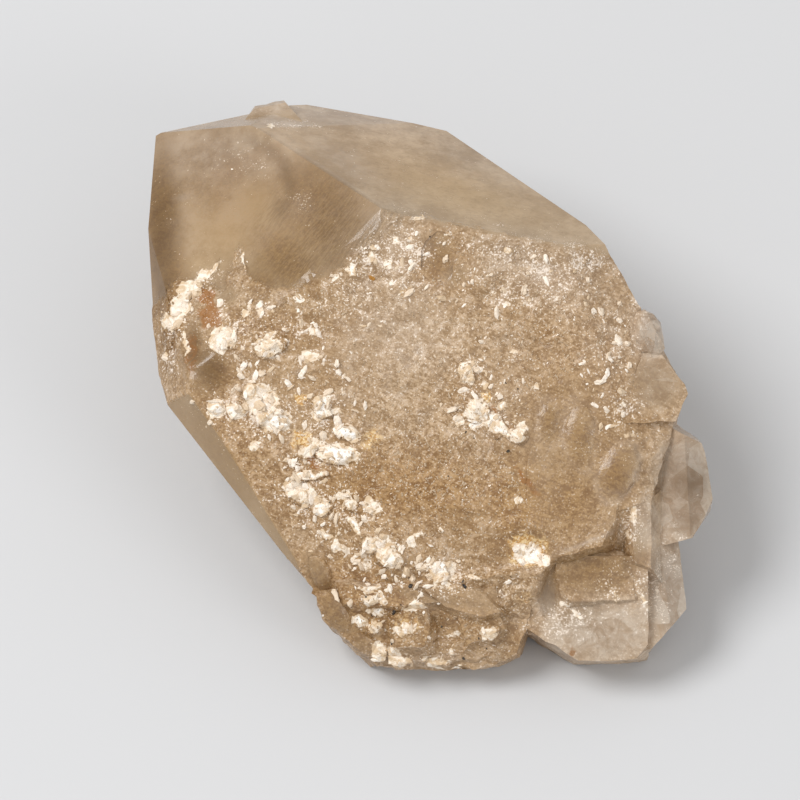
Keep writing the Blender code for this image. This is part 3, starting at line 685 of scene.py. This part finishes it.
def colour(red, green, blue):
    return (red, green, blue, 1.0)


print("a colour for a node", colour(0.5, 0.3, 0.1))

# %% Noises for shader nodes
def grain(tree, place, size, detail=2.0, roughness=0.5, twist=0.0):
    """Noise whose grains are about size metres wide; twist draws them out into swirls."""
    return new_node(tree, "TexNoise", {
        "Vector": place, "Scale": 1.0 / size, "Detail": detail,
        "Roughness": roughness, "Distortion": twist,
    }).outputs[0]


def streaks(tree, place, turn, long, wide):
    """Noise drawn out along a line that is turned by so many degrees on the front face."""
    turned = Matrix.Rotation(LEAN, 3, "X") @ Matrix.Rotation(math.radians(turn), 3, "Z")
    drawn = {"Vector": place, "Rotation": turned.to_euler(), "Scale": (long, wide, wide)}
    return grain(tree, new_node(tree, "Mapping", drawn, vector_type="TEXTURE").outputs[0], 1.0)


print("the front face leans by", round(math.degrees(LEAN)), "degrees")

# %% [markdown]
# The material reads the stored marks back by attribute nodes. Noises of several sizes give the
# stone its unevenness: clouds of a centimetre, swirls and mottles of a few millimetres, sugar and
# specks of a few tenths, and lines along the growth of the bevel.

# %% The quartz: its marks and its noises
quartz = bpy.data.materials.new("smoky_quartz")
quartz.use_nodes = True
tree = quartz.node_tree
shader = tree.nodes["Principled BSDF"]
place = new_node(tree, "TexCoord", {}).outputs["Object"]
stored_marks = {}
for attribute, names in (
    ("marks_a", ("frost", "chalk", "flour")),
    ("marks_b", ("rust", "gold", "smoke_and_shade")),
    ("marks_c", ("painted_glow", "brown", "haze_and_light")),
    ("marks_d", ("clear", "streak")),
):
    stored = new_node(tree, "Attribute", {}, attribute_name=attribute)
    split = new_node(tree, "SeparateColor", {0: stored.outputs["Color"]})
    for number, name in enumerate(names):
        stored_marks[name] = split.outputs[number]


def share_of(name, amount):
    """A stored mark, weakened."""
    return reckoned(tree, "MULTIPLY", stored_marks[name], amount)


cloud = grain(tree, place, 0.013, 4.0, 0.6)
drift = grain(tree, place, 0.0040, 3.0, 0.6)
mottle = grain(tree, place, 0.0014, 2.0, 0.6)
swirl = grain(tree, place, 0.0026, 5.0, 0.68, 1.4)
sugar = grain(tree, place, 0.00052, 2.0, 0.6)
speck = grain(tree, place, 0.00033, 1.0, 0.5)
lines = streaks(tree, place, 57.0, 0.007, 0.00032)
wisps = streaks(tree, place, -24.0, 0.0024, 0.0004)
print("marks in the material", len(stored_marks))

# %% [markdown]
# The colour is built up in layers, as the stone is: bare facets and sugary crust first, then what
# lies inside, then the stains, and at last the powder, painted glints and the white mineral on
# top. Most layers have a dark and a light tone with a noise between them, and some get a wash over it.

# %% Tones: name, noise, where it changes, dark and light colour
REFLECTION_CELL = 0.0045
uneven = weighted(tree, (cloud, 0.50), (drift, 0.26), (mottle, 0.12), (speck, 0.12))
fine = weighted(tree, (sugar, 0.23), (speck, 0.18), (swirl, 0.42), (wisps, 0.17))
# Painted reflections: pale and dark cells stand in for the reflections inside the small clear crystals.
# The light glassy tone is their own pale colour, raised to stand in for light shining through them.
reflection_cells = new_node(tree, "TexVoronoi", {"Vector": place, "Scale": 1.0 / REFLECTION_CELL})
reflection_flashes = new_node(tree, "SeparateColor", {0: reflection_cells.outputs["Color"]}).outputs[0]
swirl_and_reflections = weighted(tree, (reflection_flashes, 0.27), (swirl, 0.73))
tones = {}
for name, value, low, high, dark, light in (
    ("clean", uneven, 0.40, 0.60, (0.46, 0.32, 0.185), (0.72, 0.54, 0.355)),
    ("sugary", fine, 0.41, 0.59, (0.28, 0.168, 0.076), (0.595, 0.43, 0.27)),
    ("milky", drift, 0.35, 0.65, (0.50, 0.40, 0.315), (0.74, 0.63, 0.52)),
    ("glassy", swirl_and_reflections, 0.28, 0.72, (0.47, 0.345, 0.24), (0.93, 0.84, 0.72)),
    ("brown", fine, 0.41, 0.59, (0.20, 0.086, 0.017), (0.43, 0.24, 0.076)),
    ("lined", lines, 0.42, 0.60, (0.14, 0.08, 0.028), (0.40, 0.275, 0.15)),
    ("gold", sugar, 0.40, 0.58, (0.55, 0.29, 0.08), (0.84, 0.62, 0.32)),
    ("cream", swirl, 0.40, 0.60, (0.62, 0.46, 0.29), (0.86, 0.77, 0.65)),
):
    tones[name] = blend(tree, ramp(tree, value, low, high), colour(*dark), colour(*light))
print("tones of the quartz", len(tones))

# %% Washes over some of the tones: name, how much, colour
thick = weighted(tree, (stored_marks["chalk"], 0.60), (drift, 0.40))
for name, share, wash in (
    # Painted light: a warm glow washed over the bare facets.
    ("clean", share_of("painted_glow", 0.80), (0.66, 0.45, 0.225)),
    ("clean", ramp(tree, fine, 0.44, 0.62, 0.0, 0.30), (0.27, 0.175, 0.085)),
    ("sugary", ramp(tree, cloud, 0.42, 0.62, 0.0, 0.35), (0.40, 0.255, 0.125)),
    ("sugary", ramp(tree, drift, 0.52, 0.68, 0.0, 0.40), (0.27, 0.185, 0.115)),
    ("sugary", ramp(tree, swirl, 0.52, 0.66, 0.0, 0.55), (0.64, 0.51, 0.39)),
    ("cream", ramp(tree, thick, 0.62, 0.80), (0.95, 0.91, 0.85)),
    ("cream", ramp(tree, sugar, 0.55, 0.72, 0.0, 0.35), (0.66, 0.50, 0.34)),
):
    tones[name] = blend(tree, share, tones[name], colour(*wash))
print("nodes so far", len(tree.nodes))

# %% Layers, from the stone outwards: how much, tone or colour
def stain(name, most):
    """How much a stain covers, with a border torn by swirls."""
    torn_share = weighted(tree, (stored_marks[name], 0.50), (swirl, 0.50))
    return ramp(tree, torn_share, 0.42, 0.58, 0.0, most)


veil = ramp(tree, swirl, 0.35, 0.58, 0.60, 1.0)
powder = weighted(tree, (speck, 0.45), (swirl, 0.40), (drift, 0.15), (stored_marks["flour"], 0.30))
floury = ramp(tree, powder, 0.63, 0.74)
# Painted glints: light specks of colour on the frost where the sugar would catch the light.
painted_glints = ramp(tree, weighted(tree, (speck, 0.8), (swirl, 0.2)), 0.60, 0.68, 0.0, 0.55)
chalky = weighted(tree, (mottle, 0.40), (sugar, 0.16), (stored_marks["chalk"], 0.66))
chalky = ramp(tree, chalky, 0.54, 0.62)
tone = tones["clean"]
for share, layer in (
    (stored_marks["frost"], tones["sugary"]),
    # Milky veils, and painted light in one shaded pit.
    (reckoned(tree, "MULTIPLY", share_of("haze_and_light", 0.80), veil), tones["milky"]),
    # The small clear crystals, with their painted reflections.
    (share_of("clear", 0.75), tones["glassy"]),
    (share_of("brown", 0.80), tones["brown"]),
    (share_of("streak", 0.60), tones["lined"]),
    # Smoky colour, and painted shade at ledges and a notch.
    (share_of("smoke_and_shade", 0.75), colour(0.125, 0.066, 0.020)),
    (stain("rust", 0.88), colour(0.32, 0.135, 0.032)),
    (stain("gold", 0.85), tones["gold"]),
    (reckoned(tree, "MULTIPLY", floury, 0.75), colour(0.80, 0.71, 0.62)),
    # Painted glints on the frosted crust.
    (reckoned(tree, "MULTIPLY", painted_glints, stored_marks["frost"]), colour(0.86, 0.77, 0.67)),
    (chalky, tones["cream"]),
):
    tone = blend(tree, share, tone, layer)
feed(tree, shader, {"Base Color": tone})
print("nodes so far", len(tree.nodes))

# %% [markdown]
# Now the look of the surface and of the depth. Frost and white mineral close the stone and dull it.
# A fine bump adds the sparkle below the size of the mesh. The absorption is the same everywhere, so
# only thickness makes the stone darker.

# %% Transmission, gloss and depth
QUARTZ_IOR = 1.544
FACET_SEEN_THROUGH, FROST_SEEN_THROUGH = 0.36, 0.12
CLEAR_SEEN_THROUGH, WHITE_SEEN_THROUGH = 0.50, 0.04
FACET_DULL, FROST_DULL, WHITE_DULL = 0.24, 0.36, 0.30
LEAST_BUMP = 0.04

frosted = stored_marks["frost"]
white_cover = reckoned(tree, "MAXIMUM", chalky, floury)
see_through = ramp(tree, frosted, 0.0, 1.0, FACET_SEEN_THROUGH, FROST_SEEN_THROUGH)
see_through = reckoned(tree, "MAXIMUM", see_through, share_of("clear", CLEAR_SEEN_THROUGH))
uncovered = ramp(tree, white_cover, 0.0, 1.0, 1.0, WHITE_SEEN_THROUGH)
dullness = ramp(tree, frosted, 0.0, 1.0, FACET_DULL, FROST_DULL)
relief = weighted(tree, (sugar, 0.6), (speck, 0.4))
strength = weighted(tree, (frosted, 0.45), (stored_marks["streak"], 0.15), (chalky, 0.3))
strength = reckoned(tree, "ADD", strength, LEAST_BUMP)
bump = new_node(tree, "Bump", {"Strength": strength, "Distance": 0.0003, "Height": relief})
feed(tree, shader, {
    "Transmission Weight": reckoned(tree, "MULTIPLY", see_through, uncovered),
    "Roughness": reckoned(tree, "ADD", dullness, reckoned(tree, "MULTIPLY", white_cover, WHITE_DULL)),
    "IOR": QUARTZ_IOR,
    "Specular IOR Level": 0.35,
    "Normal": bump.outputs[0],
})
depth = new_node(tree, "VolumeAbsorption", {"Color": colour(0.80, 0.52, 0.24), "Density": 75.0})
feed(tree, tree.nodes["Material Output"], {"Volume": depth.outputs[0]})
skin.materials.clear()
skin.materials.append(quartz)
print("the quartz has", len(tree.nodes), "nodes")

# %% [markdown]
# Crumbs of the white mineral lie on its patches, and tiny quartz grains make the front look like
# sugar. Particles would be easier, but the export drops them, so every grain is part of a joined
# mesh. Each one is dropped onto the skin, stretched, turned and half sunk in.

# %% Dropping grains onto the skin
DOWN = TO_WORLD.to_3x3() @ Vector((0.0, 0.0, -1.0))
START_HEIGHT = 30.0
surface = BVHTree.FromPolygons(
    [vert.co[:] for vert in skin.vertices], [face.vertices[:] for face in skin.polygons]
)


def dropped(across, up):
    """Where a grain that falls along the view of the face meets the skin, and the way out."""
    start = TO_WORLD @ (Vector((across, up, START_HEIGHT)) * MM)
    spot, normal, _index, _far = surface.ray_cast(start, DOWN)
    return spot, normal


print("the skin under the middle of the face", dropped(0.0, 0.0)[0])

# %% Random places inside an oval
INSIDE_SHARE = 0.8
BEYOND = 1.4
MOSTLY_SMALL = 2.6
chance = random.Random(5)


def spots_in(mark, count, small, large):
    """Random places and sizes inside an oval, with a few beyond its border."""
    found = []
    across, up = on_face(mark[0], mark[1])
    turn = turn_of(mark)
    for _number in range(count):
        away = math.sqrt(chance.random()) * (1.0 if chance.random() < INSIDE_SHARE else BEYOND)
        around = chance.uniform(0.0, 2.0 * math.pi)
        along = away * math.cos(around) * mark[2] / PIXELS_PER_MM
        beside = away * math.sin(around) * mark[3] / PIXELS_PER_MM
        size = small + (large - small) * chance.random() ** MOSTLY_SMALL
        found.append((
            across + along * math.cos(turn) - beside * math.sin(turn),
            up + along * math.sin(turn) + beside * math.cos(turn), size,
        ))
    return found


def area_of(mark):
    """Area of an oval in square millimetres."""
    return math.pi * mark[2] * mark[3] / PIXELS_PER_MM ** 2


print("the snowy oval covers", round(area_of(FLOUR_MARKS[0])), "square millimetres")

# %% Joining many grains into one mesh
BATCH = 60
LONG, WIDE, THICK = (0.9, 1.9), (0.6, 1.0), (0.4, 0.7)
MOST_TILT = 0.6


def seat_of(spot, normal, size):
    """Where and how a grain sits: stretched, tilted, spun and stood on the skin."""
    shape = [chance.uniform(*span) for span in (LONG, WIDE, THICK)]
    upright = normal.to_track_quat("Z", "Y").to_matrix().to_4x4()
    spin = Matrix.Rotation(chance.uniform(0.0, math.pi), 4, (0.3, 0.2, 1.0))
    tilt = Matrix.Rotation(chance.uniform(-MOST_TILT, MOST_TILT), 4, (1.0, 0.3, 0.0))
    stretch = Matrix.Diagonal((*[size * part * MM / 2 for part in shape], 1.0))
    return Matrix.Translation(spot) @ upright @ spin @ tilt @ stretch


def scatter(spots, add_shape, keep):
    """Joins grains at many spots into one mesh; keep says whether a grain may lie at a spot."""
    joined = bmesh.new()
    joined.verts.layers.float.new("tint")
    for first in range(0, len(spots), BATCH):
        batch = bmesh.new()
        tint = batch.verts.layers.float.new("tint")
        for across, up, size in spots[first:first + BATCH]:
            spot, normal = dropped(across, up)
            if spot is None or not keep(across, up):
                continue
            shade = chance.random()
            for vert in add_shape(batch, seat_of(spot, normal, size), shade, size):
                vert[tint] = shade
        carrier = bpy.data.meshes.new("batch")
        batch.to_mesh(carrier)
        batch.free()
        joined.from_mesh(carrier)
        bpy.data.meshes.remove(carrier)
    return joined


def finished(bm, name):
    """Makes a mesh object from a bmesh and lets it ride on the crystal."""
    bmesh.ops.recalc_face_normals(bm, faces=bm.faces)
    mesh = bpy.data.meshes.new(name)
    bm.to_mesh(mesh)
    bm.free()
    made = bpy.data.objects.new(name, mesh)
    bpy.context.scene.collection.objects.link(made)
    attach(made, "root")
    print(name, "has", sum(len(face.vertices) - 2 for face in mesh.polygons), "triangles")
    return made


print("grains are joined in batches of", BATCH)

# %% [markdown]
# A crumb of the white mineral starts as a ball of twenty faces, or of eighty when it is large, and
# is dented by noise. Most crumbs lie on the chalky patches, longer ones are strewn over fields
# around them, and the finest are dust on the powdery places.

# %% White crumbs: fields as x, y, half sizes, strength, turn
CRUMBS_PER_AREA = 0.8
DUST_PER_AREA = 0.55
LARGE_CRUMB = 0.8
DENT, DENT_SIZE = 0.7, 1.3
CRUMB_SMALLEST, CRUMB_LARGEST, LARGER_BY_WIDTH = 0.22, 0.6, 0.09
LONG_GRAIN_SIZES = (0.35, 1.5)
DUST_SIZES = (0.14, 0.42)
SPARSE_CALM = 0.6
END_FACETS_FROM = 20.0
LONG_GRAIN_FIELDS = (
    (335, 515, 75, 34, 1, -50), (395, 600, 62, 46, 1), (290, 400, 70, 44, 1),
    (485, 400, 36, 44, 1), (250, 335, 80, 34, 1), (520, 280, 90, 34, 1, -15),
    (400, 262, 34, 34, 1), (610, 370, 30, 60, 1), (430, 575, 40, 24, 1),
)
LONG_GRAIN_COUNTS = (130, 60, 110, 70, 80, 50, 20, 50, 50)


def crumb(bm, seat, shade, size):
    """A dented ball."""
    rounds = 2 if size > LARGE_CRUMB else 1
    made = bmesh.ops.create_icosphere(bm, subdivisions=rounds, radius=1.0)["verts"]
    for vert in made:
        vert.co *= 1.0 + DENT * noise.noise(vert.co * DENT_SIZE + Vector((shade * 90.0, 0.0, 0.0)))
    bmesh.ops.transform(bm, matrix=seat, verts=made)
    return made


def calm_at(across, up):
    """How much of a window lies at a place on the face."""
    return cover_of(np.array([[across, up, 0.0]]), WINDOWS)[0]


def holds_crumbs(across, up):
    """True outside the windows, and anywhere on the end facets."""
    return up > END_FACETS_FROM or calm_at(across, up) < SPARSE_CALM


crumb_spots = []
for mark in CHALK_MARKS:
    count = 2 + int(area_of(mark) * mark[4] * CRUMBS_PER_AREA)
    largest = CRUMB_LARGEST + LARGER_BY_WIDTH * min(mark[2], mark[3])
    crumb_spots += spots_in(mark, count, CRUMB_SMALLEST, largest)
for mark, count in zip(LONG_GRAIN_FIELDS, LONG_GRAIN_COUNTS):
    crumb_spots += spots_in(mark, count, *LONG_GRAIN_SIZES)
for mark in FLOUR_MARKS:
    crumb_spots += spots_in(mark, int(area_of(mark) * mark[4] ** 2 * DUST_PER_AREA), *DUST_SIZES)
crumbs = finished(scatter(crumb_spots, crumb, holds_crumbs), "white_crumbs")

# %% [markdown]
# The sugar is made of small quartz crystals. Their faces flash one by one, which a bump can't do,
# so each grain is a little cube, the cheapest shape with flat faces. Windows stay free of them.

# %% Small quartz grains of the sugary front
SUGAR_FIELDS = (
    (430, 370, 190, 130, 1, -20), (470, 500, 130, 70, 1), (430, 600, 90, 50, 1),
    (560, 300, 80, 70, 1),
)
SUGAR_COUNTS = (1900, 700, 420, 480)
SUGAR_SIZES = (0.18, 0.42)
SUGAR_MARGIN = 0.5
SUGAR_CALM = 0.3


def cube_grain(bm, seat, _shade, _size):
    made = bmesh.ops.create_cube(bm, size=1.9)["verts"]
    bmesh.ops.transform(bm, matrix=seat, verts=made)
    return made


def on_crust(across, up):
    """True on the crust, but not on the end facets or in a window."""
    return below_line(across, up) > SUGAR_MARGIN and calm_at(across, up) < SUGAR_CALM


sugar_spots = []
for mark, count in zip(SUGAR_FIELDS, SUGAR_COUNTS):
    sugar_spots += spots_in(mark, count, *SUGAR_SIZES)
sugar_grains = finished(scatter(sugar_spots, cube_grain, on_crust), "sugar_grains")

# %% [markdown]
# A few black specks of another mineral sit on the broken base and one amber bead near the top of
# the front. They are crumbs as well, but each has its own place in the photograph.

# %% Specks and bead: x, y in the photograph, size in millimetres
SPECKS = (
    (508, 451, 0.75), (411, 586, 1.00), (416, 586, 0.40), (394, 613, 1.00), (366, 597, 0.50),
    (392, 644, 0.70), (465, 587, 0.80), (463, 581, 0.45), (464, 659, 0.50), (350, 531, 0.30),
    (372, 616, 0.35), (409, 578, 0.40), (401, 605, 0.35), (487, 649, 0.35), (479, 639, 0.40),
    (466, 432, 0.50), (474, 438, 0.35), (506, 383, 0.35), (518, 389, 0.35), (448, 476, 0.35),
    (442, 627, 0.50), (378, 610, 0.35), (511, 577, 0.30), (330, 503, 0.30), (356, 514, 0.30),
)
BEAD = (372, 278, 0.95)


def at_spots(rows):
    return [(*on_face(across, down), size) for across, down, size in rows]


def anywhere(_across, _up):
    return True


specks = finished(scatter(at_spots(SPECKS), crumb, anywhere), "dark_specks")
bead = finished(scatter(at_spots((BEAD,)), crumb, anywhere), "amber_bead")

# %% [markdown]
# Each kind of grain has one finish, whose colour varies from grain to grain by the tint that was
# stored on it. The crumbs are chalky and let no light through, the quartz grains are glassy.

# %% The finish of crumbs and grains: dark, light, see-through, dullness, size of bumps
FINISHES = (
    (crumbs, "white_mineral", colour(0.60, 0.45, 0.29), colour(0.92, 0.85, 0.76), 0.0, 0.5, 0.0004),
    (sugar_grains, "quartz_grain", colour(0.48, 0.33, 0.19), colour(0.80, 0.64, 0.46), 0.25, 0.2, 0.0006),
    (specks, "black_mineral", colour(0.012, 0.009, 0.007), colour(0.05, 0.035, 0.022), 0.0, 0.4, 0.0003),
    (bead, "amber", colour(0.30, 0.11, 0.01), colour(0.55, 0.26, 0.04), 0.3, 0.1, 0.0004),
)


def grain_finish(name, dark, light, see_through, dullness, bump_size):
    """Principled finish whose colour varies from grain to grain."""
    made = bpy.data.materials.new(name)
    made.use_nodes = True
    tree = made.node_tree
    shader = tree.nodes["Principled BSDF"]
    place = new_node(tree, "TexCoord", {}).outputs["Object"]
    tint = new_node(tree, "Attribute", {}, attribute_name="tint").outputs["Fac"]
    spots = grain(tree, place, bump_size)
    tone = blend(tree, tint, dark, light)
    tone = blend(tree, ramp(tree, spots, 0.35, 0.65, 0.0, 0.35), tone, dark)
    bump = new_node(tree, "Bump", {"Strength": 0.5, "Distance": 0.0001, "Height": spots})
    feed(tree, shader, {
        "Base Color": tone, "Roughness": dullness, "Transmission Weight": see_through,
        "IOR": QUARTZ_IOR, "Normal": bump.outputs[0],
    })
    return made


for piece, *values in FINISHES:
    piece.data.materials.append(grain_finish(*values))
    print(piece.name, "is finished in", values[0])

# %% [markdown]
# The crystal lies on a plain pale floor under a pale sky, with a large soft light from the upper
# left and a weaker one from the right. The stage is plain, because only the crystal matters.

# %% Floor and light
CRYSTAL_MIDDLE = Vector((0.0, 0.0, 0.025))

floor_mesh = bpy.data.meshes.new("floor")
plane = bmesh.new()
bmesh.ops.create_grid(plane, x_segments=1, y_segments=1, size=12.0)
plane.to_mesh(floor_mesh)
plane.free()
floor = bpy.data.objects.new("floor", floor_mesh)
bpy.context.scene.collection.objects.link(floor)
paper = bpy.data.materials.new("pale_paper")
paper.use_nodes = True
feed(paper.node_tree, paper.node_tree.nodes["Principled BSDF"],
     {"Base Color": colour(0.555, 0.56, 0.57), "Roughness": 0.9})
floor_mesh.materials.append(paper)

world = bpy.data.worlds.new("pale_room")
world.use_nodes = True
feed(world.node_tree, world.node_tree.nodes["Background"],
     {"Color": colour(1.0, 0.99, 0.98), "Strength": 0.70})
bpy.context.scene.world = world


def soft_light(name, place, size, power):
    """A round soft light that looks at the crystal."""
    lamp = bpy.data.lights.new(name, "AREA")
    lamp.shape = "DISK"
    lamp.size = size
    lamp.energy = power
    made = bpy.data.objects.new(name, lamp)
    made.location = place
    made.rotation_euler = (CRYSTAL_MIDDLE - Vector(place)).to_track_quat("-Z", "Y").to_euler()
    bpy.context.scene.collection.objects.link(made)
    print(name, "stands", round(made.location.length, 2), "m away")


soft_light("window_light", (-0.65, 0.0, 1.15), 0.7, 12.0)
soft_light("fill_light", (0.9, -0.7, 0.7), 0.6, 3.0)

# %% [markdown]
# The camera looks straight at the front face, as the photograph does. The picture shows hardly any
# perspective, so a long lens stands far away, and its distance follows from the width of the frame.

# %% Camera and picture
LENS = 1000.0
SENSOR = 36.0
PICTURE_WIDTH = 800.0

frame_width = PICTURE_WIDTH / PIXELS_PER_MM * MM
aim = TO_WORLD @ (Vector((*on_face(PICTURE_WIDTH / 2, PICTURE_WIDTH / 2), 0.0)) * MM)
outward = TO_WORLD.to_3x3() @ Vector((0.0, 0.0, 1.0))
eye = bpy.data.cameras.new("eye")
eye.lens = LENS
eye.sensor_width = SENSOR
eye.clip_end = 50.0
camera = bpy.data.objects.new("eye", eye)
camera.location = aim + outward * (LENS / SENSOR * frame_width)
camera.rotation_euler = (LEAN, 0.0, 0.0)
scene = bpy.context.scene
scene.collection.objects.link(camera)
scene.camera = camera
scene.view_settings.view_transform = "Standard"
scene.cycles.use_denoising = True
scene.cycles.max_bounces = 14
scene.cycles.transmission_bounces = 12
scene.cycles.transparent_max_bounces = 8
print("camera stands", round((camera.location - aim).length, 2), "m away")
